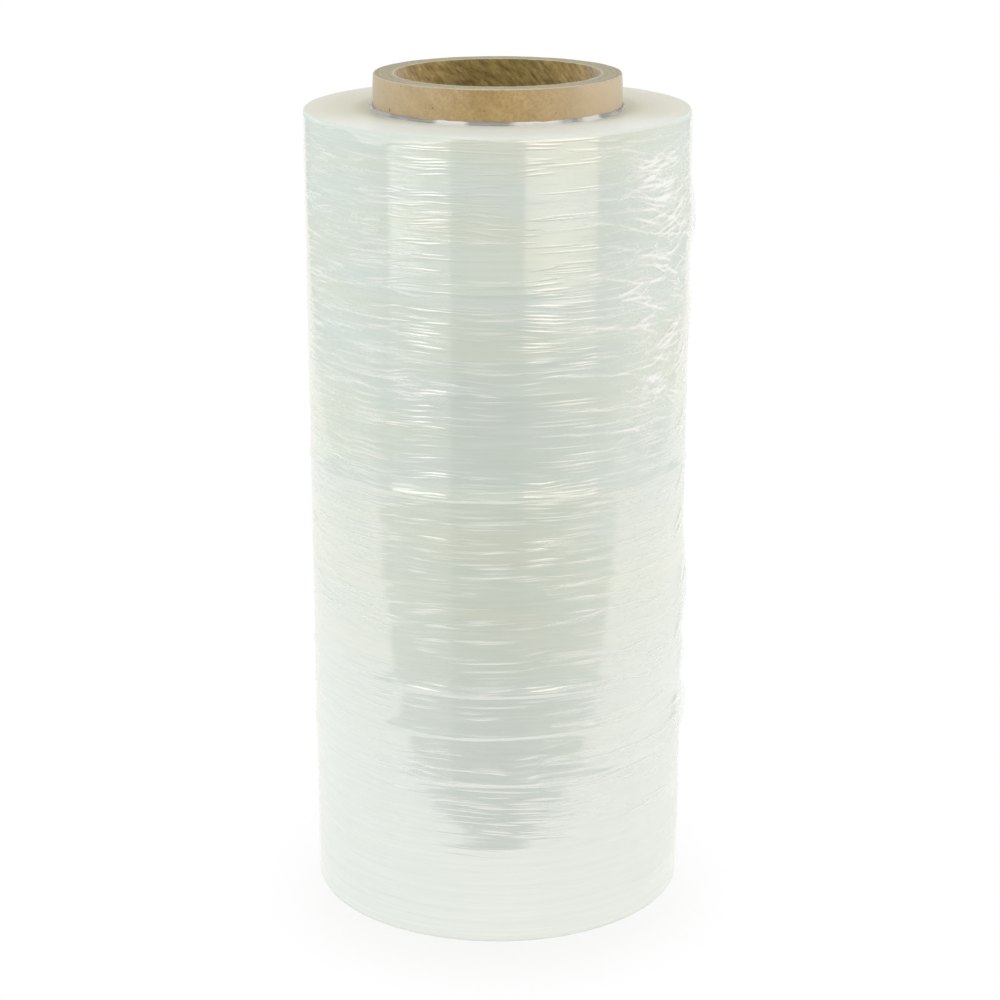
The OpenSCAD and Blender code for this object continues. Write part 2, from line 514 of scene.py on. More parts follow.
# Film seen edge on, a few turns thick
edgeLook = {
    "grey": (0.44, 0.43, 0.43),
    "white": (0.95, 0.95, 0.96),
    "roughness": 0.16,
    "ior": 2.0,
    "alpha": 0.7,
}


def makeEdgeFilm():
    look = edgeLook
    material, tree = newMaterial("edgeFilm")
    ripples = stretchedNoise(tree, (120, 120, 500), detail=2.0)
    broken = times(tree, patches(tree, (90, 90, 40), (3, 3, 3), 0.50, 0.60), 0.35)
    # painted white glints at the given bearings, with white patches at random
    whiter = maths(tree, "MAXIMUM", broken, ownValue(tree, "pale"))
    finishSurface(tree, {
        "Base Color": mixColour(tree, whiter, look["grey"], look["white"]),
        "Roughness": look["roughness"],
        "IOR": look["ior"],
        "Alpha": look["alpha"],
        "Normal": bumped(tree, ripples, 0.12 * mm),
    })
    return material


# Kraft paper of the core: outside skin, cut plies and inner liner
paperLook = {
    "skin": (0.380, 0.248, 0.078),
    "skinPale": (0.495, 0.350, 0.140),
    "speck": (0.15, 0.095, 0.04),
    "ply": (0.48, 0.44, 0.33),
    "plyPale": (0.60, 0.56, 0.43),
    # painted sheen, mixed into the skin at the core's left and right
    "paintedSheen": (0.70, 0.572, 0.39),
    "liner": (0.20, 0.138, 0.044),
    "linerPale": (0.49, 0.375, 0.165),
}


def spiralNoise(tree, scale, turn, offset=(0, 0, 0)):
    # noise drawn out along the spiral that the core's plies are wound in
    angle = times(tree, along(tree, "Z"), turn)
    inputs = {"Vector": objectPlace(tree), "Angle": angle}
    twist = addNode(tree, "VectorRotate", inputs, rotation_type="Z_AXIS")
    return noiseAt(tree, twist.outputs["Vector"], scale, offset, 4.0, 0.65)


def fibresOf(tree, size):
    return stretchedNoise(tree, (size, size, size), roughness=0.7)


def makeKraftSkin():
    look = paperLook
    material, tree = newMaterial("kraftSkin")
    clouds = ramp(tree, spiralNoise(tree, (120, 120, 60), 20.0), [(0.35, 0), (0.7, 1)])
    fibres = fibresOf(tree, 900)
    colour = mixColour(tree, clouds, look["skin"], look["skinPale"])
    colour = shaded(tree, colour, fibres, (0.78, 0.77, 0.74), (1.15, 1.15, 1.15))
    # the skin is painted paler at both sides: a painted sheen that stands for the bright room and soft boxes
    # reflected there
    paintedSideSheen = [
        between(tree, along(tree, "X"), start * mm, end * mm, high=most)
        for start, end, most in ((-12, -44, 0.5), (8, 42, 0.75))
    ]
    colour = mixColour(tree, maths(tree, "MAXIMUM", *paintedSideSheen), colour, look["paintedSheen"])
    dots = stretchedNoise(tree, (420, 420, 420), detail=1.0, offset=(4, 4, 4))
    specks = ramp(tree, dots, [(0.765, 0), (0.80, 0.8)])
    finishSurface(tree, {
        "Base Color": mixColour(tree, specks, colour, look["speck"]),
        "Roughness": 0.42,
        "Specular IOR Level": 0.5,
        "Coat Weight": 0.9,
        "Coat Roughness": 0.34,
        "Normal": bumped(tree, fibres, 0.06 * mm, 0.6),
    })
    return material


def makeCutPlies():
    look = paperLook
    material, tree = newMaterial("cutPlies")
    radius = radiusOf(tree)
    plies = ringNoise(tree, radius, 1500.0)
    middle = (coreRadius + boreRadius) / 2
    edge = maths(tree, "ABSOLUTE", maths(tree, "SUBTRACT", radius, middle))
    rimward = between(tree, edge, 2.9 * mm, 3.6 * mm, curve="LINEAR")
    colour = mixColour(tree, rimward, look["ply"], look["plyPale"])
    colour = shaded(tree, colour, plies, (0.78, 0.77, 0.75), (1.1, 1.1, 1.1))
    colour = shaded(tree, colour, fibresOf(tree, 800), (0.85, 0.85, 0.84), (1.08, 1.08, 1.08))
    finishSurface(tree, {
        "Base Color": colour,
        "Roughness": 0.85,
        "Specular IOR Level": 0.2,
        "Normal": bumped(tree, plies, 0.15 * mm, 0.8),
    })
    return material


def makeInnerLiner():
    look = paperLook
    material, tree = newMaterial("innerLiner")
    blotches = spiralNoise(tree, (430, 430, 250), -26.0, offset=(1, 8, 3))
    shares = ramp(tree, blotches, [(0.34, 0), (0.66, 1)])
    colour = mixColour(tree, shares, look["liner"], look["linerPale"])
    colour = shaded(tree, colour, fibresOf(tree, 700), (0.8, 0.79, 0.77), (1.12, 1.12, 1.12))
    # the liner is paler at both sides than at the back: painted light, for the side walls of the bore that
    # catch more light
    aside = between(tree, maths(tree, "ABSOLUTE", along(tree, "X")), 12 * mm, 32 * mm)
    tint = mixColour(tree, aside, (0.98, 1.0, 0.78), (1.44, 1.36, 1.12))
    finishSurface(tree, {
        "Base Color": mixColour(tree, 1.0, colour, tint, "MULTIPLY"),
        "Roughness": 0.85,
        "Specular IOR Level": 0.2,
        "Sheen Weight": 1.0,
        "Sheen Roughness": 0.5,
        "Normal": bumped(tree, blotches, 0.5 * mm, 0.8),
    })
    return material


# Wrinkles of stretched film, as a height map unrolled from the roll: rows go up, columns go round

def blurredNoise(rng, rows, around, rowLength, roundLength):
    # smooth noise with its own feature size up and round, in cells, and no seam
    spectrum = np.fft.rfft2(rng.standard_normal((rows, around)))
    fr = np.fft.fftfreq(rows)[:, None] * rowLength
    fa = np.fft.rfftfreq(around)[None, :] * roundLength
    field = np.fft.irfft2(spectrum * np.exp(-2 * (fr**2 + fa**2)), s=(rows, around))
    return field / field.std()


def turnedBy(angle):
    # an angle difference brought to the nearest half turn
    return (angle + math.pi) % (2 * math.pi) - math.pi


def foldProfile(gap, dip=0.0):
    # a sharp crest across a fold, with a dip below it
    return np.exp(-np.abs(gap) ** 1.3 * 1.4) - dip * np.exp(-((gap + 1.3) ** 2) * 1.2)


def addStroke(field, heights, angles, radius, stroke):
    # one sharp-crested fold, level or slanting, that tapers to both ends
    run = turnedBy(angles - stroke["angle"]) * radius
    near = np.where(np.abs(run) < stroke["half"])[0]
    if not len(near):
        return
    u = run[near] / stroke["half"]
    line = stroke["height"] + stroke["slope"] * run[near] + stroke["bow"] * u * u
    line = line + stroke["wobble"] * np.sin(u * stroke["waves"] + stroke["angle"] * 7)
    taper = (1 - u * u) ** 0.8 * stroke["rise"]
    low = np.searchsorted(heights, line.min() - 3 * stroke["wide"])
    high = np.searchsorted(heights, line.max() + 3 * stroke["wide"])
    if high <= low:
        return
    gap = (heights[low:high, None] - line[None, :]) / stroke["wide"]
    field[low:high][:, near] += foldProfile(gap, stroke["dip"]) * taper[None, :]


def randomStrokes(rng, spread):
    # folds of one kind at random places; the spread gives its lengths in mm
    low, high = spread["low"] * mm, spread["high"] * mm
    half, bow, wobble, rise, wide = (spread[key] * mm for key in ("half", "bow", "wobble", "rise", "wide"))
    for _ in range(spread["count"]):
        angle = spread["angle"] + spread["reach"] * (2 * rng.random() - 1)
        yield {
            "angle": math.radians(angle),
            "height": low + (high - low) * rng.random(),
            "half": half * (0.35 + 1.3 * rng.random() ** 2),
            "slope": spread["slope"] * rng.standard_normal(),
            "bow": bow * rng.standard_normal(),
            "wobble": wobble * rng.standard_normal(),
            "waves": 2 + 5 * rng.random(),
            "rise": rise * (0.25 + 1.5 * rng.random() ** 2),
            "wide": wide * (0.7 + 0.9 * rng.random()),
            "dip": spread.get("dip", 0.0),
        }


# Long folds that cross the slack film: the bearing in degrees and the height in mm of the points on each
longFolds = [
    [(-49, 302), (-47, 301.5), (-40, 303), (-34, 303)],
    [(-54, 301.5), (-46, 300), (-40, 300.5), (-33, 301.5)],
    [(-54, 298.5), (-50, 297.5), (-43, 295.5)],
    [(-51, 295), (-42, 292.5), (-32, 292), (-24, 291.5)],
    [(-50, 292.5), (-44, 290.5), (-38, 290.5), (-26, 290.5)],
    [(-49, 289.5), (-43, 289.5), (-38, 288.5), (-32, 288.5), (-24, 290)],
    [(-47, 286), (-40, 286), (-35, 285), (-25, 285)],
    [(-48, 284), (-41, 284), (-34, 283.5), (-25, 284)],
    [(-47, 283), (-41, 282), (-35, 283), (-29, 283.5)],
    [(-53, 285), (-46, 282.5), (-41, 279), (-36, 278.5), (-26, 279)],
    [(-64, 281.5), (-56, 281), (-49, 281), (-44, 280), (-36, 277.5), (-27, 274.5)],
    [(-49, 280.5), (-42, 277.5), (-36, 275.5), (-27, 273.5)],
    [(-39, 272), (-34, 272.5), (-26, 273), (-21, 275)],
    [(-45, 276), (-38, 274.5), (-31, 270.5)],
    [(-48, 273), (-43, 271.5), (-35, 268.5), (-28, 270.5)],
    [(-66, 273.5), (-54, 272), (-51, 271), (-48, 269), (-42, 267), (-31, 264.5), (-15, 261.5)],
    [(-56, 264), (-49, 262), (-43, 261), (-37, 262)],
    [(-48, 259.5), (-41, 259), (-34, 257.5)],
    [(-47, 256.5), (-39, 254.5), (-31, 253)],
    [(-76, 255.5), (-63, 254), (-55, 252.5), (-49, 250.5), (-44, 249), (-36, 248.5), (-30, 249.5),
     (-24, 251.5), (-18, 255)],
    [(-77, 237.5), (-62, 236), (-52, 234), (-42, 233.5), (-34, 233), (-19, 230.5)],
    [(-50, 234), (-42, 232), (-36, 228.5)],
    [(-54, 218), (-48, 218), (-42, 218), (-37, 218.5), (-33, 221.5), (-28, 225)],
    [(-77, 220), (-62, 218.5), (-49, 217), (-38, 213), (-29, 209.5)],
    [(-76, 207.5), (-64, 206.5), (-57, 205), (-51, 205), (-44, 204), (-38, 204), (-30, 206)],
    [(-76, 198), (-62, 197), (-54, 196.5), (-47, 196), (-43, 196.5), (-37, 197.5), (-28, 195.5), (-16, 195)],
    [(-78, 140), (-68, 141), (-55, 142), (-46, 140.5), (-36, 141.5), (-21, 139.5)],
    [(-78, 126), (-68, 127.5), (-56, 129.5), (-44, 129), (-28, 125.5)],
    [(-78, 112.5), (-71, 112.5), (-62, 113.5), (-48, 111), (-36, 112.5)],
    [(-62, 98), (-49, 100), (-40, 98), (-30, 99.5), (-18, 100)],
    [(-62, 83.5), (-49, 84.5), (-42, 84), (-34, 86.5), (-26, 88.5)],
    [(-78, 72), (-68, 71), (-52, 71.5), (-43, 71.5), (-29, 71), (-14, 70)],
    [(-78, 64), (-74, 64), (-64, 63.5)],
    [(-124, 259), (-116, 257.5), (-103, 256)],
    [(-125, 250.5), (-120, 249.5), (-113, 248), (-103, 249)],
    [(-116, 241.5), (-111, 240), (-103, 240)],
    [(-124, 235), (-116, 233.5), (-103, 232)],
    [(-137, 228), (-124, 226.5), (-116, 225.5), (-103, 224)],
    [(-146, 215), (-128, 212.5), (-120, 212.5), (-116, 211.5), (-103, 211.5)],
    [(-113, 218), (-101, 216.5)],
    [(-122, 278.5), (-112, 277.5), (-102, 278.5)],
    [(-124, 272), (-112, 272), (-103, 272.5)],
    [(-116, 270), (-103, 268.5)],
    [(-123, 72), (-114, 70.5), (-103, 69)],
    [(-122, 69.5), (-112, 67.5), (-103, 66)],
    [(-121, 67), (-112, 65), (-103, 64)],
]


def addLongFold(field, heights, angles, line, rise, wide):
    # a crest through the given points, that fades at both ends
    bearings = np.radians([bearing for bearing, _ in line])
    levels = np.array([level for _, level in line]) * mm
    start, end = bearings[0], bearings[-1]
    turned = (angles - start) % (2 * math.pi) + start
    near = np.where(turned < end)[0]
    near = near[np.argsort(turned[near])]
    turned = turned[near]
    path = np.interp(turned, bearings, levels) + 0.15 * mm * np.sin(turned * 31 + levels[0] * 900)
    if len(path) > 8:
        path = np.convolve(np.pad(path, 2, mode="edge"), np.ones(5) / 5, mode="valid")
    taper = np.sin(math.pi * (turned - start) / (end - start)) ** 0.4 * rise
    taper = taper * (0.75 + 0.25 * np.sin(turned * 23 + 40 * levels[0] / mm))
    gap = (heights[:, None] - path[None, :]) / wide
    field[:, near] += foldProfile(gap) * taper[None, :]


# Swellings of the slack film at the roll's right: angle, height above the film's lower edge,
# half angle, half height and rise
slackPads = [
    (-5, 266, 26, 18, 1.0),
    (-2, 231, 24, 17, 0.5),
    (-6, 121, 26, 24, 0.75),
    (-4, 93, 22, 11, 0.55),
    (-6, 72, 26, 13, 1.15),
    (160, 210, 30, 26, 0.4),
    (75, 150, 34, 30, 0.5),
]


def slackness(angles, heights, rise):
    field = np.zeros((len(heights), len(angles)))
    for angle, height, halfAngle, halfHeight, share in slackPads:
        a = np.clip(np.abs(turnedBy(angles - math.radians(angle))) / math.radians(halfAngle), 0, 1)
        h = np.clip(np.abs(heights - height * mm) / (halfHeight * mm), 0, 1)
        pad = (1 + np.cos(math.pi * h))[:, None] * (1 + np.cos(math.pi * a))[None, :] / 4
        field = np.maximum(field, pad * share * rise)
    return field


# Strong creases that go round the roll: height above the film's lower edge, rise and length of the upper
# slope, all in mm; the first four are the strongest
creases = [
    (174.3, 0.78, 2.8), (98.8, 0.60, 2.2), (83.0, 0.44, 2.2), (65.2, 0.52, 2.2),
    (213.0, 0.12, 2.2), (140.0, 0.18, 2.2), (249.0, 0.10, 2.2), (37.0, 0.12, 2.2),
]


def addCreases(field, rng, angles, heights, share):
    # each has a long slope above its line and a short steep one below it
    def wave(count):
        return np.sin(count * angles + rng.random() * 6.28)

    for height, rise, slope in creases:
        line = (height + (0.7 * wave(1) + 0.5 * wave(2) + 0.25 * wave(7))) * mm
        swell = 0.60 + 0.30 * wave(5) * wave(2)
        swell += 0.16 * wave(17) * wave(6)
        gap = (heights[:, None] - line[None, :]) / mm
        crest = np.where(gap > 0, np.exp(-gap / slope), np.exp(gap / 0.55))
        field += crest * (swell * rise * share * mm)[None, :]


def columnOf(angle, count):
    return np.rint(angle / (2 * math.pi) * count).astype(int) % count


def rowOf(points, low, high, last):
    return np.clip(np.rint((points[:, 2] - low) / (high - low) * last), 0, last).astype(int)


# Wavy upper edge where the necked last turns stop short of the rim: the bearing in degrees and the depth
# below the rim in mm of the points on it
neck = {"step": 0.15 * mm, "lip": 0.03 * mm}
neckPoints = [
    (-180, 1.2), (-168, 1.0), (-156, 1.5), (-148, 0.5), (-139, 0.4), (-135, 2.2), (-131, 4.4), (-126, 4.7),
    (-121, 2.3), (-117, 2.6), (-114, 1.9), (-110, 2.3), (-106, 1.0), (-98, 0.5), (-84, 0.7), (-76, 0.5),
    (-66, 0.4), (-50, 0.3), (-38, 0.8), (-20, 1.4), (0, 1.0), (18, 2.6), (31, 3.8), (45, 1.2), (62, 0.8),
    (78, 2.9), (90, 4.2), (104, 1.6), (118, 0.7), (133, 2.0), (146, 3.6), (160, 1.8), (180, 1.2),
]


def neckLine(angles):
    # depth of the edge below the upper rim, with small ragged waves
    depth = np.interp(np.degrees(turnedBy(angles)), *zip(*neckPoints))
    ragged = 0.14 * np.sin(23 * angles + 1) + 0.08 * np.sin(41 * angles + 2)
    return (depth + ragged) * mm


def neckRelief(angles, heights):
    # the step down from the last turns to the bare rim, with a lip along it, and where the rim is bare
    into = (filmWidth - heights[:, None] - neckLine(angles)[None, :]) / (1.5 * mm)
    bare = 1 / (1 + np.exp(np.clip(into * 4, -30, 30)))
    relief = -bare * neck["step"] + neck["lip"] * np.exp(-((into - 0.6) ** 2) * 1.5)
    return relief, bare


# The wound film; "rimRings" are the widths of the rings next to the rim, and "ripples" the lengths of its
# unevenness up and round in cells, with the height in mm
woundFilm = {
    "around": 192,
    "cuts": 21,
    "radius": 71.75 * mm,
    "rim": 0.7 * mm,
    "lowerRim": 0.6 * mm,
    "rimRings": [0.5 * mm, 1.1 * mm],
    "ends": 12,
    "seed": 4,
    "ripples": [(30, 20, 0.018), (9, 14, 0.004), (20, 8, 0.010)],
    "creaseShare": 1.2,
    "slack": 0.9 * mm,
    "coreGap": 0.02 * mm,
    "whiteRise": 0.22 * mm,
    "threads": {"count": 320, "low": 26, "high": filmWidth / mm - 2, "angle": 0, "reach": 180, "half": 17,
                "slope": 0.035, "bow": 0.6, "wobble": 0.15, "rise": 0.05, "wide": 0.95, "dip": 0.3},
}


def makeWoundFilm():
    # the body of the roll: a cylinder with a bore, ringed end faces and a wrinkled side
    setting = woundFilm
    radius, around = setting["radius"], setting["around"]
    piece = addCylinder("wound_film", radius, filmBottom, filmTop, around)
    rest = radius - sum(setting["rimRings"]) - coreRadius - setting["coreGap"]
    ringWidth = rest / setting["ends"]
    boreThrough(piece, setting["rimRings"] + [ringWidth] * setting["ends"], coreRadius + 0.5 * mm)
    outer = radius - 0.1 * mm
    cutAcross(piece, setting["cuts"], 2, lambda a, b: runsUp(a, b) and math.hypot(a.x, a.y) > outer)
    endEdit()

    rows = (setting["cuts"] + 1) ** 2 + 1
    rng = np.random.RandomState(setting["seed"])
    heights = np.linspace(0, filmWidth, rows)
    angles = np.arange(around) * 2 * math.pi / around
    ripples = [blurredNoise(rng, rows, around, up, wide) * rise * mm for up, wide, rise in setting["ripples"]]
    field = sum(ripples)
    addCreases(field, rng, angles, heights, setting["creaseShare"])
    threads = np.zeros_like(field)
    for stroke in randomStrokes(rng, setting["threads"]):
        addStroke(threads, heights, angles, radius, stroke)
    # the strong creases pull the film taut beside them
    for height, _, _ in creases[:4]:
        threads *= 1 - 0.85 * np.exp(-(((heights - height * mm) / (3 * mm)) ** 2))[:, None]
    folds = np.clip(threads / setting["whiteRise"], 0, 1)
    relief, bare = neckRelief(angles, heights)
    field = (field + threads) * (1 - 0.8 * bare) + relief + slackness(angles, heights, setting["slack"])

    points, reach, angle = readRound(piece)
    row, column = rowOf(points, filmBottom, filmTop, rows - 1), columnOf(angle, around)
    side = reach > radius - 0.05 * mm
    upper = points[:, 2] > (filmTop + filmBottom) / 2
    edge = np.where(upper, filmTop - points[:, 2], points[:, 2] - filmBottom)
    rim = np.where(upper, setting["rim"], setting["lowerRim"])
    turn = 1 - np.sqrt(np.clip(1 - (1 - np.clip(edge / rim, 0, 1)) ** 2, 0, 1))
    moved = reach + np.where(side, field[row, column], 0)
    moved = moved - np.where(side, turn * rim * 0.55, 0)
    # the rings next to the rim follow it in, and the rings of turns on the end faces rise and fall a little
    onEnd = (~side) & (reach > coreRadius + 0.5 * mm)
    nextToRim = onEnd & (reach > radius - 1.9 * mm)
    moved = np.where(nextToRim, moved - rim * 0.5 - np.where(upper, neck["step"], 0), moved)
    ring = np.round((reach - coreRadius) / ringWidth)
    level = np.sin(ring * 2.4) * 0.10 * mm + np.sin(ring * 5.1) * 0.05 * mm
    points[:, 2] += np.where(onEnd, level * np.where(upper, 1, -1), 0)
    writeRound(piece, points, moved, angle)
    rounded = np.clip(1.6 - edge / rim, 0, 1)
    writeValue(piece, "bareRim", np.where(side, np.maximum(bare[row, column], rounded), 1.0))
    writeValue(piece, "folds", np.where(side, folds[row, column], 0.0))
    smooth(piece, 50)
    return piece


# Combs of parallel folds in the slack film: bearing, height above the film's lower edge, slope, how many
# folds and half their length
foldCombs = [
    (-44, 287, 0.10, 5, 6), (-34, 281, 0.10, 5, 6), (-30, 268, 0.30, 6, 6), (-24, 262, 0.42, 6, 5),
    (-33, 254, -0.25, 5, 6), (-26, 243, -0.25, 5, 5), (-41, 241, -0.20, 4, 6), (-30, 226, 0.22, 5, 6),
    (-21, 217, 0.45, 6, 5), (-36, 210, 0.20, 4, 6), (-25, 203, -0.35, 5, 5), (-17, 192, 0.55, 6, 5),
    (-15, 168, 0.3, 5, 5), (-16, 152, 0.45, 6, 5), (-11, 130, 0.7, 6, 5), (-13, 108, 0.6, 6, 5),
    (-9, 92, 0.4, 6, 5), (-17, 76, 0.35, 5, 5), (-50, 246, 0.1, 3, 6), (-116, 215, 0.0, 4, 7),
    (-118, 264, 0.03, 3, 7), (14, 262, 0.5, 7, 5), (22, 228, -0.4, 6, 5), (10, 196, 0.3, 6, 5),
    (26, 150, 0.5, 7, 5), (8, 118, -0.5, 7, 5), (20, 84, 0.3, 6, 5),
]


def combStrokes(rng, comb):
    # the folds of one comb lie side by side, a little fanned out
    bearing, height, slope, count, half = comb
    for i in range(count):
        side = i - (count - 1) / 2
        fan = 0.8 * side * (1 if slope > 0 else -1)
        yield {
            "angle": math.radians(bearing + 3.0 * (2 * rng.random() - 1) + fan),
            "height": (height + side * 1.75 + 0.5 * (2 * rng.random() - 1)) * mm,
            "half": half * (0.65 + 0.7 * rng.random()) * mm,
            "slope": slope + 0.05 * side + 0.05 * rng.standard_normal(),
            "bow": (0.5 + 0.4 * rng.standard_normal()) * mm,
            "wobble": 0.15 * mm * rng.standard_normal(),
            "waves": 2 + 4 * rng.random(),
            "rise": (0.12 + 0.22 * rng.random()) * mm,
            "wide": (0.42 + 0.16 * rng.random()) * mm,
            "dip": 0.0,
        }


# Clear slack film over the wound turns; folds of the full "whiteRise" look white
slackFilm = {
    "columns": 440,
    "cuts": 21,
    "low": 8 * mm,
    "high": 301 * mm,
    "radius": 71.95 * mm,
    "seed": 9,
    "slack": 2.0 * mm,
    "longRise": 0.22 * mm,
    "longWide": 0.55 * mm,
    "whiteRise": 0.24 * mm,
    "fadeSides": 16,
    "fadeEnds": 6 * mm,
}
# Its four sheets: bearings at their sides, lower or upper half, and how much of each one shows
slackSheets = {
    "slack_film_lower": {"from": -78, "to": 62, "half": 0, "shown": 1.0},
    "slack_film_upper": {"from": -78, "to": 62, "half": 1, "shown": 1.0},
    "slack_film_left_lower": {"from": -186, "to": -98, "half": 0, "shown": 0.3},
    "slack_film_left_upper": {"from": -186, "to": -98, "half": 1, "shown": 0.3},
}
# Folds scattered over the slack film, by kind; distances in mm
slackStrokes = {
    "level": {"count": 330, "low": 40, "high": 300, "angle": 0, "reach": 75, "half": 18,
              "slope": 0.04, "bow": 0.8, "wobble": 0.3, "rise": 0.08, "wide": 0.55},
    "crinkle": {"count": 360, "low": 186, "high": 296, "angle": -32, "reach": 20, "half": 5,
                "slope": 0.25, "bow": 0.8, "wobble": 0.3, "rise": 0.11, "wide": 0.5},
    "crumple": {"count": 140, "low": 95, "high": 290, "angle": 3, "reach": 20, "half": 4,
                "slope": 0.8, "bow": 1.0, "wobble": 0.4, "rise": 0.10, "wide": 0.5},
    "hair": {"count": 420, "low": 120, "high": 298, "angle": -147, "reach": 21, "half": 8,
             "slope": 0.035, "bow": 0.3, "wobble": 0.1, "rise": 0.10, "wide": 0.42},
}


def slackRelief():
    # how far the slack film stands off and where it is folded, over all of its sheets
    setting = slackFilm
    rows = 2 * (setting["cuts"] + 1) ** 2 + 1
    rng = np.random.RandomState(setting["seed"])
    heights = np.linspace(setting["low"], setting["high"], rows)
    angles = np.arange(setting["columns"]) * 2 * math.pi / setting["columns"]
    field = np.abs(blurredNoise(rng, rows, len(angles), 60, 16)) * 0.10 * mm
    field += blurredNoise(rng, rows, len(angles), 16, 12) * 0.015 * mm
    folds = np.zeros_like(field)
    strokes = [stroke for kind in slackStrokes.values() for stroke in randomStrokes(rng, kind)]
    strokes += [stroke for comb in foldCombs for stroke in combStrokes(rng, comb)]
    for stroke in strokes:
        addStroke(folds, heights, angles, setting["radius"], stroke)
    for line in longFolds:
        addLongFold(folds, heights, angles, line, setting["longRise"], setting["longWide"])
    field = np.maximum(field + 0.6 * folds, -0.1 * mm) + slackness(angles, heights, setting["slack"])
    return heights, angles, field, np.clip(folds / setting["whiteRise"], 0, 1)


def makeSlackSheet(name, relief):
    # slack clear film that fades into the turns round it
    setting, sheet = slackFilm, slackSheets[name]
    heights, angles, field, folds = relief
    span = (setting["cuts"] + 1) ** 2
    first = sheet["half"] * span
    bottom, top = filmBottom + heights[first], filmBottom + heights[first + span]
    piece = addCylinder(name, setting["radius"], bottom, top, len(angles), ends="NOTHING")
    startEdit(piece)
    middle = math.radians((sheet["from"] + sheet["to"]) / 2)
    half = math.radians((sheet["to"] - sheet["from"]) / 2)
    pickFaces(piece, lambda centre, normal: abs(turnedBy(math.atan2(centre.y, centre.x) - middle)) > half)
    bpy.ops.mesh.delete(type="FACE")
    cutAcross(piece, setting["cuts"], 2)
    endEdit()

    points, _, angle = readRound(piece)
    row, column = first + rowOf(points, bottom, top, span), columnOf(angle, len(angles))
    angle = angles[column]
    writeRound(piece, points, setting["radius"] + field[row, column], angle)
    inward = np.degrees(half - np.abs(turnedBy(angle - middle)))
    side = np.clip(inward / setting["fadeSides"], 0, 1)
    edge = np.minimum(heights[row] - setting["low"], setting["high"] - heights[row])
    shown = side * side * (3 - 2 * side) * np.clip(edge / setting["fadeEnds"], 0, 1) * sheet["shown"]
    writeValue(piece, "shown", shown)
    writeValue(piece, "folds", folds[row, column] * np.clip(inward / 3, 0, 1))
    smooth(piece, 60)
    return piece


# The first turns; "pale" and "curl" give bearings and half widths in degrees; the "pale" bearings get painted
# white glints
firstTurns = {
    "around": 240,
    "cuts": 6,
    "rise": 1.25 * mm,
    "sunk": 0.15 * mm,
    "coreGap": 0.20 * mm,
    "flare": 1.5 * mm,
    "thick": 0.10 * mm,
    "pale": [(-111, 9), (-72, 14), (-44, 7), (60, 20), (150, 12)],
    "curl": (140, 26),
    "curlOut": 0.9 * mm,
}


def makeFirstTurns(name, end, out):
    # the first turns stand out of an end face along the core, ragged at the edge and flared at the foot
    setting = firstTurns
    inner = coreRadius + setting["coreGap"]
    low, high = sorted((end - setting["sunk"] * out, end + setting["rise"] * out))
    piece = addCylinder(name, inner, low, high, setting["around"], ends="NOTHING")
    startEdit(piece)
    cutAcross(piece, setting["cuts"])
    endEdit()
    points, _, angle = readRound(piece)
    up = np.clip((points[:, 2] - end) * out / setting["rise"], 0, 1)
    ragged = 0.10 * np.sin(7 * angle + 1) + 0.09 * np.sin(19 * angle + 2) + 0.06 * np.sin(43 * angle)
    curlAt, curlHalf = np.radians(setting["curl"])
    curl = np.exp(-((turnedBy(angle - curlAt) / curlHalf) ** 2))
    spread = 0.75 + 0.25 * np.sin(5 * angle + 2) * np.sin(3 * angle)
    reach = inner + setting["flare"] * spread * (1 - up) ** 3 + setting["curlOut"] * curl * up
    points[:, 2] += up * (ragged + 0.9 * curl) * setting["rise"] * out
    writeRound(piece, points, reach, angle)
    # the painted white glints at the given bearings
    bearing = angle[:, None] - np.radians([middle for middle, _ in setting["pale"]])
    inside = 1 - np.abs(np.degrees(turnedBy(bearing))) / np.array([half for _, half in setting["pale"]])
    writeValue(piece, "pale", np.clip(inside.max(axis=1) * 3, 0, 1))
    thicken = piece.modifiers.new("thickness", "SOLIDIFY")
    thicken.thickness = setting["thick"]
    thicken.offset = -1
    bpy.ops.object.modifier_apply(modifier=thicken.name)
    smooth(piece, 50)
    return piece


# The paper core; "grooves" are the depths in mm of the lines between its plies, from the outside in
paperCore = {
    "around": 256,
    "rings": 16,
    "cuts": 72,
    "grooves": [0.35, 0.02, 0, 0.12, 0.05, 0.22, 0.06, 0.1, 0.25, 0.08, 0.12, 0.28, 0.06, 0.15, 0.2, 0, 0.1],
}


def makePaperCore():
    # spiral paper tube: bored cylinder with ringed plies on its cut ends
    setting = paperCore
    piece = addCylinder("paper_core", coreRadius, coreLow.z, coreTop, setting["around"])
    step = (coreRadius - boreRadius) / setting["rings"]
    boreThrough(piece, [step] * setting["rings"], boreRadius + step / 2)
    cutAcross(piece, setting["cuts"])
    endEdit()
    points, reach, angle = readRound(piece)
    ring = np.rint((coreRadius - reach) / step).astype(int)
    atEnd = np.minimum(points[:, 2] - coreLow.z, coreTop - points[:, 2]) < 0.01 * mm
    outward = np.where(points[:, 2] > coreTop / 2, 1, -1)
    ragged = 0.05 * np.sin(9 * angle + ring) + 0.05 * np.sin(23 * angle + 2.3 * ring)
    ragged += 0.03 * np.sin(51 * angle + ring * 1.7)
    groove = np.array(setting["grooves"])[np.clip(ring, 0, setting["rings"])]
    points[:, 2] -= np.where(atEnd, (groove + np.abs(ragged)) * mm * outward, 0)
    writeRound(piece, points, reach - np.where(atEnd & (ring == 0), 0.25 * mm, 0), angle)
    smooth(piece, 40)
    return piece


def sortFaces(piece, slotOf):
    # gives each face the slot of its material, by its normal and its distance from the axis
    for polygon in piece.data.polygons:
        reach = math.hypot(polygon.center.x, polygon.center.y)
        polygon.material_index = slotOf(polygon.normal, reach)


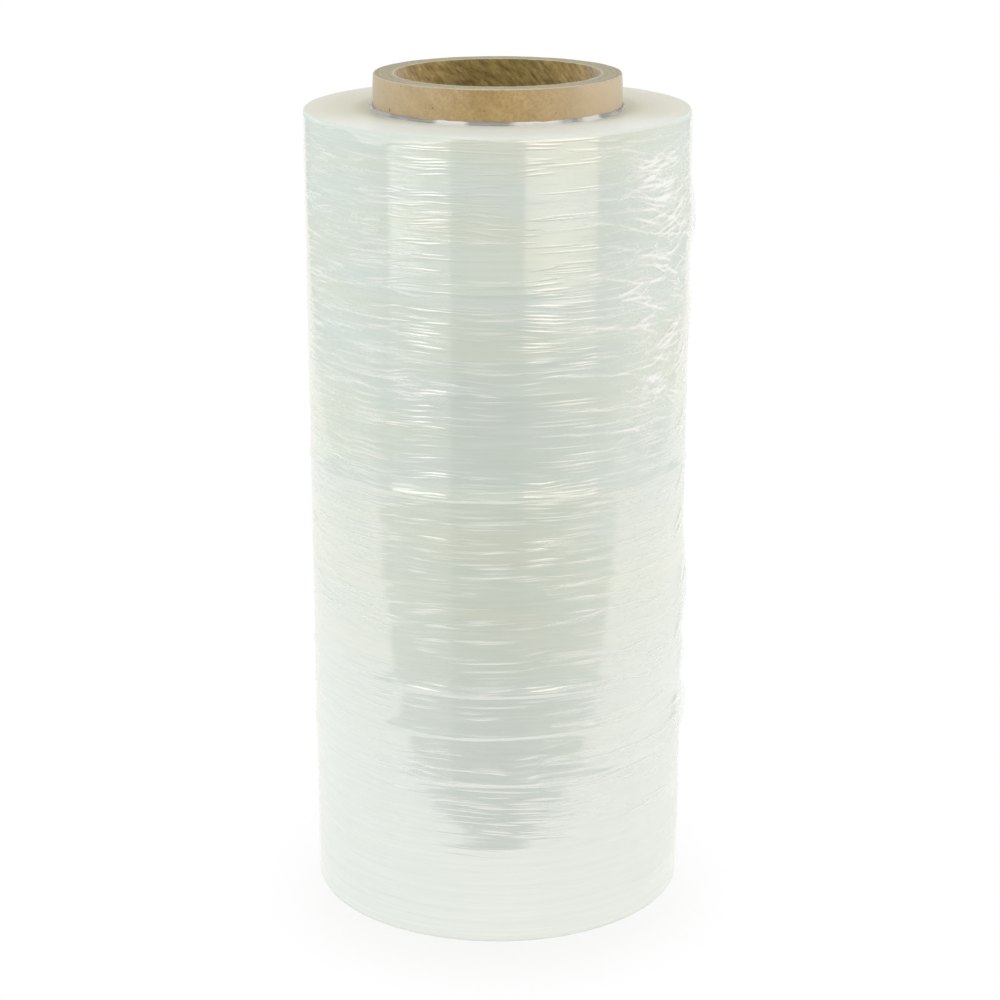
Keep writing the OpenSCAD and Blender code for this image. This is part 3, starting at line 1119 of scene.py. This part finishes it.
def filmSlot(normal, reach):
    # slot 0 is the side, 1 the end faces
    return 1 if reach < woundFilm["radius"] - 1.2 * mm else 0


def coreSlot(normal, reach):
    # slot 0 is the outside, 1 the cut ends, 2 the bore
    if abs(normal.z) > 0.5:
        return 1
    return 2 if reach < (boreRadius + coreRadius) / 2 else 0


# Studio

def makePaperSweep():
    deselectAll()
    bpy.ops.mesh.primitive_plane_add(size=1, location=(0, 0, 0))
    sweep = bpy.context.object
    sweep.name = "paperSweep"
    sweep.scale = (2 * studio["paperHalfWidth"], studio["paperBack"] - studio["paperFront"], 1)
    sweep.location = (0, (studio["paperBack"] + studio["paperFront"]) / 2, 0)
    bpy.ops.object.transform_apply(location=True, rotation=True, scale=True)
    startEdit(sweep, "EDGE")
    back = studio["paperBack"] - mm
    pickEdges(sweep, lambda a, b: a.y > back and b.y > back)
    steps = 12
    curve = studio["paperCurve"]
    for i in range(steps):
        a0 = math.pi / 2 * i / steps
        a1 = math.pi / 2 * (i + 1) / steps
        move = (0, curve * (math.sin(a1) - math.sin(a0)), curve * (math.cos(a0) - math.cos(a1)))
        bpy.ops.mesh.extrude_region_move(TRANSFORM_OT_translate={"value": move})
    bpy.ops.mesh.extrude_region_move(TRANSFORM_OT_translate={"value": (0, 0, studio["paperRise"])})
    endEdit()
    smooth(sweep, 60)

    material, tree = newMaterial("whitePaper")
    # a soft shadow next to the roll is kept, and the paper turns plain white further out
    x, y = along(tree, "X"), along(tree, "Y")
    behind = times(tree, maths(tree, "MAXIMUM", y, 0.0), 0.6)
    y = maths(tree, "ADD", behind, maths(tree, "MINIMUM", y, 0.0))
    squares = maths(tree, "ADD", times(tree, x, x), times(tree, y, y))
    distance = maths(tree, "SQRT", squares)
    far = between(tree, distance, *studio["shadowFades"], low=studio["shadowKept"])
    clearOfRoll = between(tree, distance, *studio["mirrorFades"])
    path = addNode(tree, "LightPath")
    seen = maths(tree, "MAXIMUM", path.outputs["Is Camera Ray"], path.outputs["Is Transmission Ray"])
    mirrored = times(tree, path.outputs["Is Glossy Ray"], clearOfRoll)
    whitened = maths(tree, "MAXIMUM", times(tree, seen, far), mirrored)
    paper = addNode(tree, "BsdfDiffuse", {"Color": (*studio["paperColour"], 1.0)})
    shown = mixColour(tree, mirrored, (1.0, 1.0, 1.0), studio["paperMirrored"])
    white = addNode(tree, "Emission", {"Color": shown, "Strength": 1.0})
    finishNodes(tree, mixShaders(tree, whitened, paper.outputs["BSDF"], white.outputs["Emission"]))
    sweep.data.materials.append(material)


def makeDarkRoom():
    # the room round the paper, which only reflections see: dark in front, bright at the sides and back
    radius = studio["roomRadius"]
    room = addCylinder("darkRoom", radius, -1.6, 2.4, 64, ends="NOTHING")
    startEdit(room)
    pickFaces(room, lambda centre, normal: centre.y > 0.93 * radius)
    bpy.ops.mesh.delete(type="FACE")
    endEdit()
    material, tree = newMaterial("roomGrey")
    bearing = between(tree, along(tree, "Y"), -radius, radius, curve="LINEAR")
    tones = ramp(tree, bearing, studio["roomTones"])
    upper = between(tree, along(tree, "Z"), -0.42, -0.32, high=studio["roomUpper"])
    tone = mixColour(tree, 1.0, tones, upper, "LIGHTEN")
    x, darker = along(tree, "X"), studio["roomRight"]
    right = between(tree, x, 0.75 * radius, 0.9 * radius, 1.0, darker, "LINEAR")
    grey = addNode(tree, "Emission", {"Color": tone, "Strength": right})
    finishNodes(tree, grey.outputs["Emission"])
    room.data.materials.append(material)
    room.visible_camera = False
    room.visible_diffuse = False
    room.visible_shadow = False
    room.visible_transmission = False


def addSoftBox(name, box):
    # an upright rectangle of light between two bearings, measured from the camera's direction
    middle = math.radians((box["from"] + box["to"]) / 2)
    half = math.radians((box["to"] - box["from"]) / 2)
    wide = 2 * studio["boxDistance"] * math.tan(half)
    tall = box["high"] - box["low"]
    data = bpy.data.lights.new(name, "AREA")
    data.shape = "RECTANGLE"
    data.size = wide
    data.size_y = tall
    data.energy = box["strength"] * math.pi * wide * tall
    data.color = box["colour"]
    # each panel has its own glow up and across the box, and the brighter one shows
    tree = startNodes(data)
    place = addNode(tree, "NewGeometry").outputs["Position"]
    split = addNode(tree, "SeparateXYZ", {0: place})
    upShare = between(tree, split.outputs["Z"], box["low"], box["high"], curve="LINEAR")
    direction = (math.cos(middle) / wide, math.sin(middle) / wide, 0)
    across = vectorMaths(tree, "DOT_PRODUCT", place, direction, "Value")
    sideShare = maths(tree, "ADD", across, 0.5)
    panels = []
    for upward, sideward in box["panels"]:
        up = ramp(tree, upShare, [((z - box["low"]) / tall, level) for z, level in upward])
        side = ramp(tree, sideShare, sideward)
        panels.append(mixColour(tree, 1.0, up, side, "MULTIPLY"))
    brightest = panels[0]
    for panel in panels[1:]:
        brightest = mixColour(tree, 1.0, brightest, panel, "LIGHTEN")
    light = addNode(tree, "Emission", {"Color": brightest, "Strength": 1.0})
    finishNodes(tree, light.outputs["Emission"], "OutputLight")
    lamp = bpy.data.objects.new(name, data)
    bpy.context.scene.collection.objects.link(lamp)
    d = studio["boxDistance"]
    lamp.location = (d * math.sin(middle), -d * math.cos(middle), (box["high"] + box["low"]) / 2)
    lamp.rotation_euler = (math.radians(90), 0, middle)
    lamp.visible_camera = False
    return lamp


def makeWorld():
    world = bpy.data.worlds.new("studioFill")
    bpy.context.scene.world = world
    tree = startNodes(world)
    path = addNode(tree, "LightPath")
    seen = maths(tree, "MAXIMUM", path.outputs["Is Camera Ray"], path.outputs["Is Glossy Ray"])
    seen = maths(tree, "MAXIMUM", seen, path.outputs["Is Transmission Ray"])
    place = addNode(tree, "TexCoord")
    split = addNode(tree, "SeparateXYZ", {0: place.outputs["Generated"]})
    toward = between(tree, split.outputs["Y"], -1.0, 1.0, curve="LINEAR")
    levels = [(0.0, studio["fillFront"]), (0.5, studio["fillSide"]), (1.0, studio["fillBack"])]
    tone = ramp(tree, toward, levels)
    aside = between(tree, split.outputs["X"], -1.0, 1.0, studio["fillLeft"], studio["fillRight"], "LINEAR")
    fill = addNode(tree, "Background", {"Color": tone, "Strength": aside})
    white = addNode(tree, "Background", {"Color": (1, 1, 1, 1), "Strength": 1.0})
    shader = mixShaders(tree, seen, fill.outputs["Background"], white.outputs["Background"])
    finishNodes(tree, shader, "OutputWorld")


def makeCamera():
    data = bpy.data.cameras.new("photoCamera")
    data.lens = photoCamera["lens"]
    data.sensor_width = 36
    camera = bpy.data.objects.new("photoCamera", data)
    bpy.context.scene.collection.objects.link(camera)
    camera.location = (photoCamera["sideStep"], -photoCamera["distance"], photoCamera["height"])
    camera.rotation_euler = (math.radians(90 - photoCamera["pitch"]), 0, 0)
    bpy.context.scene.camera = camera


bpy.context.scene.view_settings.view_transform = "Standard"
makeCamera()
makeWorld()
makePaperSweep()
makeDarkRoom()
addSoftBox("leftSoftBox", studio["leftBox"])
addSoftBox("rightSoftBox", studio["rightBox"])
print("studio ready")

milkyFilm = makeMilkyFilm()
filmEnds = makeFilmEnds()
clearFilm = makeClearFilm()

wound = makeWoundFilm()
wound.data.materials.append(milkyFilm)
wound.data.materials.append(filmEnds)
sortFaces(wound, filmSlot)
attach(wound, "root")
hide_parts("film_roll")
print("wound film", len(wound.data.polygons), "faces")

relief = slackRelief()
for name in slackSheets:
    sheet = makeSlackSheet(name, relief)
    sheet.data.materials.append(clearFilm)
    sheet.visible_shadow = False  # one clear turn casts next to no shadow
    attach(sheet, "root")
    print(name, len(sheet.data.polygons), "faces")

edgeFilm = makeEdgeFilm()
for name, end, out in (("first_turns_top", filmTop, 1), ("first_turns_base", filmBottom, -1)):
    turns = makeFirstTurns(name, end, out)
    turns.data.materials.append(edgeFilm)
    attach(turns, "root")
print("first turns at both ends")

core = makePaperCore()
for material in (makeKraftSkin(), makeCutPlies(), makeInnerLiner()):
    core.data.materials.append(material)
sortFaces(core, coreSlot)
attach(core, "root")
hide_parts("core")
print("paper core", len(core.data.polygons), "faces")
